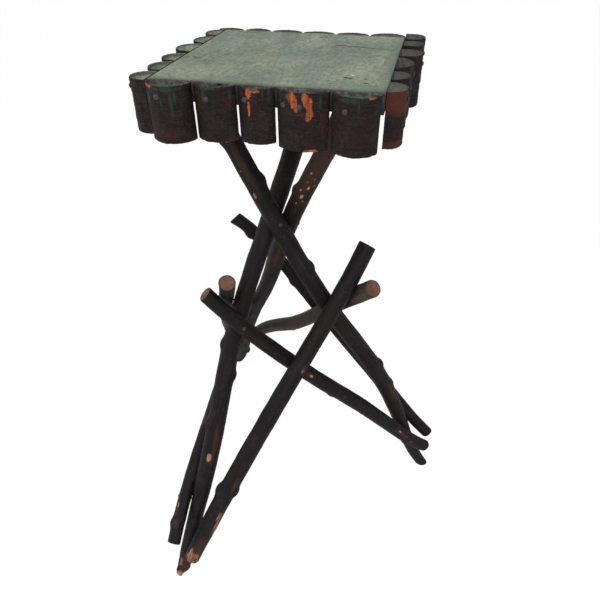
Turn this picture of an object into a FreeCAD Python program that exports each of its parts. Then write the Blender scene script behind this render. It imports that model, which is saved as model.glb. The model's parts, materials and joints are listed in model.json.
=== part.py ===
import FreeCAD, Part
import math
import os
import Sketcher

# A rustic stick table: a square board with a skirt of split logs nailed round its edges, on three
# long sticks that cross below the board and six braces nailed from each foot over the other legs.
# Millimetres, +Z up. Everything is laid out from the point on the floor under the board's middle,
# and the finished table is moved once, so that the middle of its footprint lies at the origin.

Vector = FreeCAD.Vector
Placement = FreeCAD.Placement
Rotation = FreeCAD.Rotation
UP = Vector(0, 0, 1)

# The driving sizes, each in a named cell of the sheet.
SIZES = {
    # the board and its skirt of split logs
    "table_height": 762,
    "board_side": 254,
    "board_thickness": 20.5,
    "board_edge_wear": 1.5,
    "log_depth": 20,
    "log_length": 58,
    "log_flank": 5,
    # where the three legs stand on the floor and meet the board, as reaches and angles
    "right_leg_spread": 260,
    "right_leg_foot_angle": 3.4,
    "right_leg_top_reach": 113,
    "right_leg_top_angle": -163,
    "front_leg_spread": 322,
    "front_leg_foot_angle": -113.8,
    "front_leg_top_reach": 105,
    "front_leg_top_angle": 80,
    "rear_leg_spread": 297,
    "rear_leg_foot_angle": 134,
    "rear_leg_top_reach": 119,
    "rear_leg_top_angle": -44.3,
    # the thickness of each stick, and how far it is bent out of true
    "right_leg_thickness": 25,
    "right_leg_bend": 9,
    "front_leg_thickness": 27,
    "front_leg_bend": 19,
    "rear_leg_thickness": 25,
    "rear_leg_bend": 10,
    "front_brace_over_right_thickness": 25,
    "front_brace_over_right_bend": 9,
    "front_brace_over_rear_thickness": 20,
    "front_brace_over_rear_bend": 4,
    "right_brace_over_front_thickness": 23,
    "right_brace_over_front_bend": 9.5,
    "right_brace_over_rear_thickness": 19.5,
    "right_brace_over_rear_bend": 12,
    "rear_brace_over_front_thickness": 21.5,
    "rear_brace_over_front_bend": 3.5,
    "rear_brace_over_right_thickness": 23,
    "rear_brace_over_right_bend": 5.5,
    # each brace: the height where it is nailed to the leg it starts from and to the stick it crosses,
    # the length below the first nail and the length that sticks out beyond the second
    "front_brace_over_right_foot_height": 43,
    "front_brace_over_right_cross_height": 426,
    "front_brace_over_right_tail": 7,
    "front_brace_over_right_overhang": 70,
    "front_brace_over_rear_foot_height": 119,
    "front_brace_over_rear_cross_height": 296,
    "front_brace_over_rear_tail": 72,
    "front_brace_over_rear_overhang": 62,
    "right_brace_over_front_foot_height": 97,
    "right_brace_over_front_cross_height": 400,
    "right_brace_over_front_tail": 46,
    "right_brace_over_front_overhang": 74,
    "right_brace_over_rear_foot_height": 130,
    "right_brace_over_rear_cross_height": 306,
    "right_brace_over_rear_tail": 79,
    "right_brace_over_rear_overhang": 215,
    "rear_brace_over_front_foot_height": 24,
    "rear_brace_over_front_cross_height": 420,
    "rear_brace_over_front_tail": 11,
    "rear_brace_over_front_overhang": 97,
    "rear_brace_over_right_foot_height": 107.7,
    "rear_brace_over_right_cross_height": 375,
    "rear_brace_over_right_tail": 80,
    "rear_brace_over_right_overhang": 98.4,
    # knots, nails and the room between pieces
    "knot_size": 9,
    "nail_thickness": 2.6,
    "nail_head_width": 6,
    "nail_head_height": 1.4,
    "nail_head_sink": 0.5,
    "leg_nail_head_sink": 1.45,
    "nail_point_length": 3.5,
    "log_nail_length": 34,
    "log_nail_drop": 10.5,
    "leg_nail_length": 40,
    "stick_nail_length": 38,
    "nail_clearance": 0.05,
    "contact_gap": 0.3,
    "overrun": 14,
}

# The split logs of each edge, listed from left to right as seen by someone facing that edge: the
# middle of the log and its width as shares of the board's side, its depth, its flank and its length
# as shares of the common log, and for each nail its place across the log as a share of its width and
# its drop below the top as a share of the common drop.
FRONT_LOG_SHARES = (
    (-0.392, 0.196, 1.22, 1.2, 1.03, ((-0.1, 1.0),)),
    (-0.193, 0.180, 0.86, 0.8, 0.98, ((-0.1, 1.15),)),
    (-0.016, 0.154, 0.66, 0.7, 0.98, ((-0.25, 1.1),)),
    (0.178, 0.212, 0.80, 0.8, 1.03, ((-0.34, 1.3), (-0.015, 1.3))),
    (0.390, 0.192, 1.02, 1.0, 1.03, ((-0.18, 1.35),)),
)
RIGHT_LOG_SHARES = (
    (-0.405, 0.134, 1.04, 1.5, 1.00, ((0.0, 1.0),)),
    (-0.236, 0.130, 1.02, 1.5, 0.95, ((0.05, 1.1),)),
    (-0.032, 0.192, 1.04, 0.8, 1.02, ((0.0, 1.0),)),
    (0.160, 0.144, 1.45, 3.0, 1.04, ((-0.1, 1.0),)),
    (0.352, 0.110, 1.40, 3.5, 0.98, ((0.1, 1.1),)),
    (0.512, 0.136, 1.40, 2.9, 1.00, ((-0.32, 1.0),)),
)
BACK_LOG_SHARES = (
    (-0.408, 0.182, 0.95, 1.0, 1.02, ((0.1, 1.0),)),
    (-0.220, 0.170, 0.70, 0.8, 0.98, ((0.0, 1.1),)),
    (-0.035, 0.170, 0.62, 0.7, 1.00, ((-0.1, 1.0),)),
    (0.143, 0.166, 0.70, 0.7, 1.03, ((0.05, 1.1),)),
    (0.312, 0.140, 0.78, 0.8, 0.97, ((0.0, 1.0),)),
    (0.468, 0.140, 0.60, 0.7, 1.00, ((-0.1, 1.35),)),
)
LEFT_LOG_SHARES = (
    (-0.415, 0.148, 1.13, 0.8, 1.00, ((0.0, 1.0),)),
    (-0.240, 0.158, 1.12, 0.8, 0.96, ((0.1, 1.1),)),
    (-0.060, 0.160, 1.38, 1.6, 1.03, ((-0.1, 1.0),)),
    (0.130, 0.136, 1.23, 1.5, 0.98, ((0.0, 1.0),)),
    (0.289, 0.152, 1.12, 0.9, 1.02, ((-0.05, 1.1),)),
    (0.449, 0.134, 1.21, 1.6, 1.00, ((0.1, 1.0),)),
)

# Where the sections of a stick lie along it, and how strongly the middle follows when a stick is
# pushed aside by the one it lies on.
STATION_SHARES = (0.0, 0.17, 0.33, 0.5, 0.67, 0.83, 1.0)
PUSH_SHARES = (0.0, 0.4, 0.7, 0.9, 1.0, 0.6, 0.0)
HALF_SHARE = 0.5
END_SHARE = 0.012
HALVING_SHARE = 0.00001
SETTLING_ROUNDS = 8
SEATING_ROUNDS = 4

# The shape of each stick from its foot up, at the stations: its thickness, and how far it is out of
# true sideways and upwards, as shares of the named thickness and bend. Then its knots: the place
# along the stick, the direction they face in degrees, and their size as a share of the named knot.
STICK_SHARES = {
    "right_leg": (
        (0.80, 1.06, 1.20, 1.14, 1.09, 1.08, 1.06),
        (0.0, -0.35, -0.6, 0.1, 0.65, 0.5, 0.0),
        (0.0, 0.35, 1.0, -0.3, -0.75, -0.55, 0.0),
        ((0.81, 112, 0.9), (0.63, 112, 0.9), (0.35, 110, 1.0), (0.29, 110, 0.8), (0.89, -68, 0.7)),
    ),
    "front_leg": (
        (0.82, 1.00, 1.10, 1.05, 1.04, 1.05, 1.08),
        (0.0, 0.27, 0.58, 1.0, 0.7, 0.24, 0.0),
        (0.0, 0.05, 0.13, 0.33, 0.28, 0.1, 0.0),
        ((0.86, -148, 0.9), (0.485, 33, 1.0), (0.43, -147, 0.9), (0.33, 32, 1.0)),
    ),
    "rear_leg": (
        (0.90, 0.92, 1.0, 1.10, 1.14, 1.05, 1.10),
        (0.0, -0.13, -0.95, -1.0, -1.0, -0.44, 0.0),
        (0.0, -0.35, 0.0, -0.4, 0.32, 0.36, 0.0),
        ((0.79, 134, 0.8), (0.6, 133, 0.7), (0.11, -48, 1.0)),
    ),
    "front_brace_over_right": (
        (1.00, 1.14, 1.16, 1.14, 1.11, 1.11, 1.13),
        (0.0, 0.0, -0.14, -0.34, -0.43, -0.32, 0.0),
        (0.0, 0.56, 0.9, 0.97, 0.7, 0.09, 0.0),
        ((0.23, 36, 1.1), (0.245, -144, 1.0)),
    ),
    "front_brace_over_rear": (
        (1.04, 1.10, 1.14, 1.12, 1.05, 1.0, 0.98),
        (0.0, 1.0, 0.8, 0.26, 0.1, 0.1, 0.0),
        (0.0, 0.38, 0.3, 0.06, 0.0, 0.0, 0.0),
        ((0.061, 20, 0.8),),
    ),
    "right_brace_over_front": (
        (0.98, 1.08, 1.13, 1.11, 1.09, 1.03, 1.01),
        (0.0, 0.1, 0.05, 0.34, 0.57, 0.73, 0.0),
        (0.0, -0.61, -0.62, -0.93, -1.0, -0.65, 0.0),
        ((0.09, -62, 0.8), (0.47, -62, 0.6)),
    ),
    "right_brace_over_rear": (
        (1.08, 1.24, 1.36, 1.34, 1.20, 1.08, 1.26),
        (0.0, 0.36, 0.11, -0.34, -0.78, -1.0, 0.0),
        (0.0, 0.12, 0.25, 0.2, 0.1, 0.3, 0.0),
        ((0.93, -54, 0.8), (0.72, -54, 0.7)),
    ),
    "rear_brace_over_front": (
        (0.96, 1.0, 1.0, 1.0, 1.0, 1.03, 1.12),
        (0.0, 0.0, -0.25, -0.92, -1.0, -0.5, 0.0),
        (0.0, 0.18, 0.3, 0.4, 0.35, 0.2, 0.0),
        ((0.4, 60, 0.6),),
    ),
    "rear_brace_over_right": (
        (1.0, 1.06, 1.16, 1.18, 1.16, 1.21, 1.22),
        (0.0, -0.3, -0.55, -0.75, -0.93, -0.77, 0.0),
        (0.0, 0.57, 1.0, -0.88, -0.95, -0.15, 0.0),
        ((0.5, -89, 0.6),),
    ),
}

# The braces: the leg each starts from, the side of it that the brace lies on and how far round it
# the foot leans in degrees, then the stick it crosses and is nailed to higher up, with its side and
# lean, and the braces it lies over on the way. That stick is a leg, or a brace laid before it.
# Side 1 is the side towards the thumb of a right hand curled from the stick to the brace.
BRACES = {
    "right_brace_over_front": ("right_leg", 1, 0, "front_leg", 1, -5, ()),
    "front_brace_over_rear": ("front_leg", 1, 0, "rear_leg", 1, 0, ()),
    "rear_brace_over_right": ("rear_leg", 1, -9.4, "right_leg", 1, 21.6, ()),
    "right_brace_over_rear": ("right_leg", -1, 8, "rear_brace_over_right", -1, 19.5, ()),
    "rear_brace_over_front": ("rear_leg", -1, 0, "front_leg", -1, -19, ("front_brace_over_rear",)),
    "front_brace_over_right": ("front_leg", -1, 24, "rear_brace_over_right", 1, 1.5, ()),
}

doc = FreeCAD.newDocument("RusticTable")
sheet = doc.addObject("Spreadsheet::Sheet", "Sizes")
for row, (alias, value) in enumerate(SIZES.items(), start=1):
    sheet.set("A%d" % row, alias.replace("_", " "))
    sheet.set("B%d" % row, str(value))
    sheet.setAlias("B%d" % row, alias)
doc.recompute()


def size(alias):
    """The number in a named cell of the sheet."""
    return float(getattr(sheet, alias))


def bind(item, setting, formula):
    """Tie one setting of an object to the sheet."""
    item.setExpression(setting, formula)


def polar(reach, degrees, height):
    """A point at a reach and an angle round the middle of the table."""
    angle = math.radians(degrees)
    return Vector(reach * math.cos(angle), reach * math.sin(angle), height)


def unit(vector):
    """The same direction with a length of one."""
    return vector / vector.Length


def origin_plane(body, role):
    """One of the body's own base planes."""
    return next(item for item in body.Origin.OriginFeatures if item.Role == role)


def new_sketch(body, name):
    """A sketch on the body's own ground plane."""
    sketch = body.newObject("Sketcher::SketchObject", name)
    sketch.AttachmentSupport = [(origin_plane(body, "XY_Plane"), "")]
    sketch.MapMode = "FlatFace"
    return sketch


underside = size("table_height") - size("board_thickness")
nail_radius = size("nail_thickness") / 2


class Stick:
    """The line, thickness and place of one stick, from its foot end to its far end."""

    def __init__(self, name, start, end):
        self.name = name
        self.thickness_shares, self.side_shares, self.lift_shares, self.knots = STICK_SHARES[name]
        self.thickness = size(name + "_thickness")
        self.bend = size(name + "_bend")
        self.push = Vector(0, 0, 0)
        self.set_ends(start, end)

    def set_ends(self, start, end):
        """Lay the stick between two points, with its own X level and sideways."""
        self.start = start
        self.length = (end - start).Length
        self.along = unit(end - start)
        self.side = unit(UP.cross(self.along))
        self.lift = self.along.cross(self.side)

    def placement(self):
        """Where the stick's own frame lies on the table."""
        return Placement(self.start, Rotation(self.side, self.lift, self.along, "ZXY"))

    def offset(self, station):
        """How far the stick is out of true at a station, in its own frame."""
        push = self.push * PUSH_SHARES[station]
        x = self.bend * self.side_shares[station] + push.dot(self.side)
        y = self.bend * self.lift_shares[station] + push.dot(self.lift)
        return x, y

    def station(self, station):
        """The middle of one section; a leg's end sections lie beyond the cuts that trim it."""
        x, y = self.offset(station)
        height = self.length * STATION_SHARES[station]
        if self.name.endswith("_leg") and station == 0:
            height -= size("overrun")
        if self.name.endswith("_leg") and station == len(STATION_SHARES) - 1:
            height += size("overrun")
        return Vector(x, y, height)

    def curve(self):
        """The stick's middle line as one curve, taken from a thin loft through its stations."""
        rings = []
        for station in range(len(STATION_SHARES)):
            ring = Part.Circle(self.station(station), UP, size("contact_gap") / 10).toShape()
            ring.Placement = self.placement()
            rings.append(Part.Wire([ring]))
        return Part.makeLoft(rings, False, False).Faces[0].Surface.uIso(0.0)

    def line(self, low_share=0.0, high_share=1.0):
        """The middle line, or the part of it between two shares of its length."""
        curve = self.curve()
        return curve.toShape(self.at_share(curve, low_share), self.at_share(curve, high_share))

    def at_share(self, curve, share):
        """The curve's own measure at a share of its length."""
        return curve.FirstParameter + (curve.LastParameter - curve.FirstParameter) * share

    def radius_near(self, point):
        """Half the thickness of the stick beside a point."""
        share = (point - self.start).dot(self.along) / self.length
        share = min(max(share, 0.0), 1.0)
        for station in range(1, len(STATION_SHARES)):
            low, high = STATION_SHARES[station - 1], STATION_SHARES[station]
            if share <= high:
                part = (share - low) / (high - low)
                below, above = self.thickness_shares[station - 1:station + 1]
                return self.thickness / 2 * (below + (above - below) * part)

    def at_height(self, height):
        """The point of the middle line at a height, and the line's direction there."""
        curve = self.curve()
        low, high = curve.FirstParameter, curve.LastParameter
        while high - low > (curve.LastParameter - curve.FirstParameter) * HALVING_SHARE:
            middle = (low + high) / 2
            if curve.value(middle).z < height:
                low = middle
            else:
                high = middle
        return curve.value(low), Vector(*curve.tangent(low)[0])

    def contact(self, other, low_share=0.0, high_share=1.0):
        """Where this stick comes nearest to another: both points, and how far it has to move off."""
        distance, pairs, _ = self.line(low_share, high_share).distToShape(other.line())
        mine, theirs = pairs[0]
        wanted = self.radius_near(mine) + other.radius_near(theirs) + size("contact_gap")
        return mine, theirs, unit(mine - theirs), wanted - distance


# The legs. The front leg is laid true, and the other two are pushed aside to lie on it and on each
# other where they cross.
sticks = {}
for leg in ("front_leg", "right_leg", "rear_leg"):
    foot = polar(size(leg + "_spread"), size(leg + "_foot_angle"), 0)
    top = polar(size(leg + "_top_reach"), size(leg + "_top_angle"), underside)
    sticks[leg] = Stick(leg, foot, top)
for leg, supports in (("right_leg", ("front_leg",)), ("rear_leg", ("front_leg", "right_leg"))):
    for _ in range(SETTLING_ROUNDS):
        for support in supports:
            _, _, away, missing = sticks[leg].contact(sticks[support])
            sticks[leg].push += away * missing


def lay_brace(name, foot_leg, foot_side, foot_lean, cross_leg, cross_side, cross_lean, braces_below):
    """Lay a brace on the leg it starts from and on the stick it crosses, over any brace below it."""
    legs = (sticks[foot_leg], sticks[cross_leg])
    sides = (foot_side, cross_side)
    leans = (foot_lean, cross_lean)
    spans = ((0.0, HALF_SHARE), (HALF_SHARE, 1.0))
    heights = (size(name + "_foot_height"), size(name + "_cross_height"))
    spots = [leg.at_height(height) for leg, height in zip(legs, heights)]
    tail, overhang = size(name + "_tail"), size(name + "_overhang")
    points = [spot for spot, _ in spots]
    along = unit(points[1] - points[0])
    brace = Stick(name, points[0] - along * tail, points[1] + along * overhang)
    extra = [0.0, 0.0]
    for _ in range(SETTLING_ROUNDS):
        for _ in range(SEATING_ROUNDS):
            curve = brace.curve()
            for index, (spot, direction) in enumerate(spots):
                nearest = curve.parameter(points[index])
                away = unit(direction.cross(Vector(*curve.tangent(nearest)[0]))) * sides[index]
                away = Rotation(direction, leans[index]).multVec(away)
                reach = legs[index].radius_near(spot) + brace.thickness / 2 + extra[index]
                points[index] = points[index] + spot + away * reach - curve.value(nearest)
            along = unit(points[1] - points[0])
            brace.set_ends(points[0] - along * tail, points[1] + along * overhang)
        for index in range(len(legs)):
            _, _, _, missing = brace.contact(legs[index], *spans[index])
            extra[index] += missing
        for below in braces_below:
            _, _, away, missing = brace.contact(sticks[below])
            brace.push += away * missing
    return brace


for name, laying in BRACES.items():
    sticks[name] = lay_brace(name, *laying)


# The nails: each is a shank with a point and a low head, and its hole is the same shape with a
# little room. Both are turned round Z, with the head's seat at zero and the point downwards.
def nail_body(label, length_alias):
    """One nail as a turned body."""
    body = doc.addObject("PartDesign::Body", label)
    sketch = body.newObject("Sketcher::SketchObject", label + "_outline")
    sketch.AttachmentSupport = [(origin_plane(body, "XZ_Plane"), "")]
    sketch.MapMode = "FlatFace"
    radius, head = nail_radius, size("nail_head_width") / 2
    rise, length, point = size("nail_head_height"), size(length_alias), size("nail_point_length")
    corners = [Vector(0, -length, 0), Vector(radius, point - length, 0), Vector(radius, 0, 0),
               Vector(head, 0, 0), Vector(head / 2, rise, 0), Vector(0, rise, 0)]
    for index, corner in enumerate(corners):
        sketch.addGeometry(Part.LineSegment(corner, corners[(index + 1) % len(corners)]))
    for index in range(len(corners)):
        sketch.addConstraint(Sketcher.Constraint("Coincident", index, 2, (index + 1) % len(corners), 1))
    for line, kind in ((1, "Vertical"), (2, "Horizontal"), (4, "Horizontal")):
        sketch.addConstraint(Sketcher.Constraint(kind, line))
    sketch.addConstraint(Sketcher.Constraint("PointOnObject", 2, 1, -1))
    for corner_line in (0, 5):
        sketch.addConstraint(Sketcher.Constraint("PointOnObject", corner_line, 1, -2))
    named = ((("DistanceY", 0, 1, -1, 1, length), "Sizes.%s" % length_alias),
             (("DistanceX", -1, 1, 2, 1, radius), "Sizes.nail_thickness / 2"),
             (("DistanceX", -1, 1, 3, 1, head), "Sizes.nail_head_width / 2"),
             (("DistanceX", -1, 1, 4, 1, head / 2), "Sizes.nail_head_width / 4"),
             (("DistanceY", -1, 1, 4, 1, rise), "Sizes.nail_head_height"),
             (("DistanceY", 0, 1, 0, 2, point), "Sizes.nail_point_length"))
    for arguments, formula in named:
        index = sketch.addConstraint(Sketcher.Constraint(*arguments))
        bind(sketch, "Constraints[%d]" % index, formula)
    turn = body.newObject("PartDesign::Revolution", label + "_turned")
    turn.Profile = sketch
    turn.ReferenceAxis = (sketch, ["V_Axis"])
    return body


nail_patterns = {alias: nail_body(alias.replace("_length", "_pattern"), alias)
                 for alias in ("log_nail_length", "leg_nail_length", "stick_nail_length")}
doc.recompute()
nail_groups = {}
holes_in = {}


def drive_nail(group, length_alias, surface, inward, pieces, sink_alias="nail_head_sink"):
    """Drive one nail from a surface, and note the hole that it needs in each piece it holds."""
    seat = surface + inward * size(sink_alias)
    place = Placement(seat, Rotation(UP, inward * -1))
    nail_groups.setdefault(group, []).append((length_alias, place))
    for piece in pieces:
        holes_in.setdefault(piece, []).append((length_alias, place))


def nail_sticks(group, front, back, low_share=0.0, high_share=1.0):
    """Nail one stick to another through the point where they touch."""
    mine, _, away, _ = sticks[front].contact(sticks[back], low_share, high_share)
    surface = mine + away * sticks[front].radius_near(mine)
    drive_nail(group, "stick_nail_length", surface, away * -1, (front, back))


nail_sticks("leg_crossing_nails", "right_leg", "front_leg")
nail_sticks("leg_crossing_nails", "rear_leg", "front_leg")
for name, (foot_leg, _, _, cross_leg, _, _, _) in BRACES.items():
    nail_sticks("brace_foot_nails", name, foot_leg, END_SHARE, HALF_SHARE)
    nail_sticks("brace_crossing_nails", name, cross_leg, HALF_SHARE, 1.0)


# The split logs: a half-round section with a low flank each side of its flat back, as long as the
# log. The flat back lies on the board's edge and the top is flush with the board.
def log_body(label, width_share, depth_share, flank_share, length_share):
    """One split log with its flat back on its own X axis and its round side towards +Y."""
    body = doc.addObject("PartDesign::Body", label + "_log")
    sketch = new_sketch(body, label + "_section")
    half = size("board_side") * width_share / 2
    flank = size("log_flank") * flank_share
    rise = size("log_depth") * depth_share - flank
    radius = (half * half + rise * rise) / (2 * rise)
    centre = Vector(0, flank + rise - radius, 0)
    lean = math.asin(half / radius)
    if rise > half:
        lean = math.pi - lean
    arc = Part.ArcOfCircle(Part.Circle(centre, UP, radius), math.pi / 2 - lean, math.pi / 2 + lean)
    sketch.addGeometry(Part.LineSegment(Vector(-half, 0, 0), Vector(half, 0, 0)))
    sketch.addGeometry(Part.LineSegment(Vector(half, 0, 0), Vector(half, flank, 0)))
    sketch.addGeometry(arc)
    sketch.addGeometry(Part.LineSegment(Vector(-half, flank, 0), Vector(-half, 0, 0)))
    for first, end, second, start in ((0, 2, 1, 1), (1, 2, 2, 1), (2, 2, 3, 1), (3, 2, 0, 1)):
        sketch.addConstraint(Sketcher.Constraint("Coincident", first, end, second, start))
    sketch.addConstraint(Sketcher.Constraint("Symmetric", 0, 1, 0, 2, -1, 1))
    sketch.addConstraint(Sketcher.Constraint("Horizontal", 0))
    sketch.addConstraint(Sketcher.Constraint("Vertical", 1))
    sketch.addConstraint(Sketcher.Constraint("Vertical", 3))
    sketch.addConstraint(Sketcher.Constraint("Equal", 1, 3))
    width_formula = "Sizes.board_side * %g" % width_share
    rise_formula = "(Sizes.log_depth * %g - Sizes.log_flank * %g)" % (depth_share, flank_share)
    radius_formula = "((%s / 2)^2 + %s^2) / (2 * %s)" % (width_formula, rise_formula, rise_formula)
    named = ((("DistanceX", 0, 1, 0, 2, 2 * half), width_formula),
             (("DistanceY", 1, 1, 1, 2, flank), "Sizes.log_flank * %g" % flank_share),
             (("Radius", 2, radius), radius_formula))
    for arguments, formula in named:
        index = sketch.addConstraint(Sketcher.Constraint(*arguments))
        bind(sketch, "Constraints[%d]" % index, formula)
    pad = body.newObject("PartDesign::Pad", label + "_length")
    pad.Profile = sketch
    bind(pad, "Length", "Sizes.log_length * %g" % length_share)
    return body


def log_row(edge, turn, rows):
    """The logs of one edge of the board, from left to right as seen facing it."""
    facing = Rotation(UP, turn)
    outward = facing.multVec(Vector(0, 1, 0))
    rightward = facing.multVec(Vector(-1, 0, 0))
    board_side, board_top = size("board_side"), size("table_height")
    for number, (middle, width, depth, flank, length, nails) in enumerate(rows, start=1):
        label = "%s_log_%d" % (edge, number)
        body = log_body(label, width, depth, flank, length)
        foot = outward * (board_side / 2) + rightward * (board_side * middle)
        foot.z = board_top - size("log_length") * length
        body.Placement = Placement(foot, facing)
        log_pieces[label] = body
        half = board_side * width / 2
        rise = size("log_depth") * depth - size("log_flank") * flank
        radius = (half * half + rise * rise) / (2 * rise)
        for nail, drop in nails:
            across = board_side * width * nail
            out = size("log_depth") * depth - radius + math.sqrt(radius * radius - across * across)
            surface = foot + rightward * across + outward * out
            surface.z = board_top - size("log_nail_drop") * drop
            drive_nail(edge + "_log_nails", "log_nail_length", surface, outward * -1,
                       (label, "top_board"))


log_pieces = {}
log_row("front", 180, FRONT_LOG_SHARES)
log_row("right", -90, RIGHT_LOG_SHARES)
log_row("back", 0, BACK_LOG_SHARES)
log_row("left", 90, LEFT_LOG_SHARES)

# The leg nails, straight down through the board into the oblique leg ends.
for leg in ("front_leg", "right_leg", "rear_leg"):
    surface = polar(size(leg + "_top_reach"), size(leg + "_top_angle"), size("table_height"))
    drive_nail("leg_top_nails", "leg_nail_length", surface, UP * -1, ("top_board", leg),
               "leg_nail_head_sink")

# The board.
board = doc.addObject("PartDesign::Body", "board_blank")
outline = new_sketch(board, "board_outline")
half_side = size("board_side") / 2
corners = [Vector(-half_side, -half_side, 0), Vector(half_side, -half_side, 0),
           Vector(half_side, half_side, 0), Vector(-half_side, half_side, 0)]
for index, corner in enumerate(corners):
    outline.addGeometry(Part.LineSegment(corner, corners[(index + 1) % len(corners)]))
for index in range(len(corners)):
    following = (index + 1) % len(corners)
    outline.addConstraint(Sketcher.Constraint("Coincident", index, 2, following, 1))
    outline.addConstraint(Sketcher.Constraint("Vertical" if index % 2 else "Horizontal", index))
outline.addConstraint(Sketcher.Constraint("Symmetric", 0, 1, 2, 1, -1, 1))
for arguments in (("DistanceX", 0, 1, 0, 2, 2 * half_side), ("DistanceY", 1, 1, 1, 2, 2 * half_side)):
    index = outline.addConstraint(Sketcher.Constraint(*arguments))
    bind(outline, "Constraints[%d]" % index, "Sizes.board_side")
board_pad = board.newObject("PartDesign::Pad", "board_depth")
board_pad.Profile = outline
bind(board_pad, "Length", "Sizes.board_thickness")
doc.recompute()
board_wear = board.newObject("PartDesign::Chamfer", "board_worn_edges")
board_wear.Base = (board_pad, ["Edge%d" % index for index in range(1, len(board_pad.Shape.Edges) + 1)])
bind(board_wear, "Size", "Sizes.board_edge_wear")
board.Placement = Placement(Vector(0, 0, underside), Rotation())


# The sticks: round sections lofted along the bent line, with knots grown on, and the three legs cut
# level at the floor and at the board's underside.
def stick_body(stick):
    """One stick as a lofted body in its own frame."""
    body = doc.addObject("PartDesign::Body", stick.name + "_stick")
    sections = []
    for station in range(len(STATION_SHARES)):
        sketch = new_sketch(body, "%s_section_%d" % (stick.name, station))
        radius = stick.thickness / 2 * stick.thickness_shares[station]
        sketch.addGeometry(Part.Circle(Vector(0, 0, 0), UP, radius))
        sketch.addConstraint(Sketcher.Constraint("Coincident", 0, 3, -1, 1))
        index = sketch.addConstraint(Sketcher.Constraint("Radius", 0, radius))
        bind(sketch, "Constraints[%d]" % index,
             "Sizes.%s_thickness / 2 * %g" % (stick.name, stick.thickness_shares[station]))
        sketch.AttachmentOffset = Placement(stick.station(station), Rotation())
        sections.append(sketch)
    loft = body.newObject("PartDesign::AdditiveLoft", stick.name + "_loft")
    loft.Profile = sections[0]
    loft.Sections = sections[1:]
    return body


def grow_knots(body, stick):
    """Grow the stick's knots as low lens shapes half sunk in its side."""
    local = stick.placement().inverse()
    curve = stick.curve()
    for number, (share, degrees, knot_share) in enumerate(stick.knots, start=1):
        middle = local.multVec(curve.value(stick.at_share(curve, share)))
        radius = stick.radius_near(stick.placement().multVec(middle))
        angle = math.radians(degrees)
        facing = Vector(math.cos(angle), math.sin(angle), 0)
        knot = body.newObject("PartDesign::AdditiveEllipsoid", "%s_knot_%d" % (stick.name, number))
        bind(knot, "Radius1", "Sizes.knot_size * %g" % (knot_share * KNOT_LENGTH_SHARE))
        bind(knot, "Radius2", "Sizes.knot_size * %g" % knot_share)
        bind(knot, "Radius3", "Sizes.knot_size * %g" % knot_share)
        sunk = radius - size("knot_size") * knot_share * KNOT_SUNK_SHARE
        knot.Placement = Placement(middle + facing * sunk, Rotation(UP, degrees))


KNOT_LENGTH_SHARE = 1.5
KNOT_SUNK_SHARE = 0.55
stick_bodies = {}
for name, stick in sticks.items():
    stick_bodies[name] = stick_body(stick)
doc.recompute()
for name, stick in sticks.items():
    grow_knots(stick_bodies[name], stick)

# The room between the floor and the board's underside, which trims the legs.
room = doc.addObject("Part::Box", "room_under_board")
widest = max(size(leg + "_spread") for leg in ("front_leg", "right_leg", "rear_leg"))
for setting in ("Length", "Width"):
    setattr(room, setting, 4 * widest)
bind(room, "Height", "Sizes.table_height - Sizes.board_thickness")
room.Placement = Placement(Vector(-2 * widest, -2 * widest, 0), Rotation())
doc.recompute()


def hole_tool(label, nails):
    """The holes of all nails in one piece, each a shank hole with a seat for the head."""
    holes = []
    for number, (length_alias, place) in enumerate(nails, start=1):
        shank = doc.addObject("Part::Cylinder", "%s_hole_%d" % (label, number))
        bind(shank, "Radius", "Sizes.nail_thickness / 2 + Sizes.nail_clearance")
        bind(shank, "Height", "Sizes.%s + Sizes.nail_clearance" % length_alias)
        depth = size(length_alias) + size("nail_clearance")
        shank.Placement = place.multiply(Placement(Vector(0, 0, -depth), Rotation()))
        seat = doc.addObject("Part::Cylinder", "%s_seat_%d" % (label, number))
        bind(seat, "Radius", "Sizes.nail_head_width / 2 + Sizes.nail_clearance")
        bind(seat, "Height", "Sizes.overrun")
        seat.Placement = place
        holes += [shank, seat]
    tool = doc.addObject("Part::Compound", label + "_holes")
    tool.Links = holes
    return tool


finished = {}


def finish(node, blank):
    """Cut a piece's nail holes and give it its name."""
    if node in holes_in:
        cut = doc.addObject("Part::Cut", node + "_drilled")
        cut.Base = blank
        cut.Tool = hole_tool(node, holes_in[node])
        blank = cut
    finished[node] = blank


finish("top_board", board)
for label, body in log_pieces.items():
    finish(label, body)
for name in sticks:
    blank = stick_bodies[name]
    blank.Placement = sticks[name].placement()
    if name.endswith("_leg"):
        trimmed = doc.addObject("Part::Common", name + "_trimmed")
        trimmed.Base = blank
        trimmed.Tool = room
        blank = trimmed
    finish(name, blank)
doc.recompute()
for group, nails in nail_groups.items():
    driven = doc.addObject("Part::Feature", group)
    shapes = []
    for length_alias, place in nails:
        nail = nail_patterns[length_alias].Shape.Solids[0].copy()
        nail.Placement = place.multiply(nail.Placement)
        shapes.append(nail)
    driven.Shape = Part.makeCompound(shapes)
    finished[group] = driven

# The whole table is moved so that the middle of its footprint lies at the origin, on the floor.
table = Part.makeCompound([piece.Shape for piece in finished.values()])
extent = table.optimalBoundingBox(False)
shift = Placement(Vector(-extent.Center.x, -extent.Center.y, -extent.ZMin), Rotation())
for node, piece in finished.items():
    piece.Placement = shift.multiply(piece.Placement)
    piece.Label = node
doc.recompute()

for item in doc.Objects:
    if "Invalid" in item.State or "Error" in item.State:
        raise RuntimeError("%s did not build: %s" % (item.Label, item.State))
os.makedirs("parts", exist_ok=True)
for node, piece in finished.items():
    shape = piece.Shape
    if shape.isNull() or not shape.isValid() or not shape.Solids:
        raise RuntimeError("%s has no valid solid" % node)
    shape.exportStep("parts/%s.step" % node)
print("pieces", len(finished), "moved by", shift.Base)
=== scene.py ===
import json
import math

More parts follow.
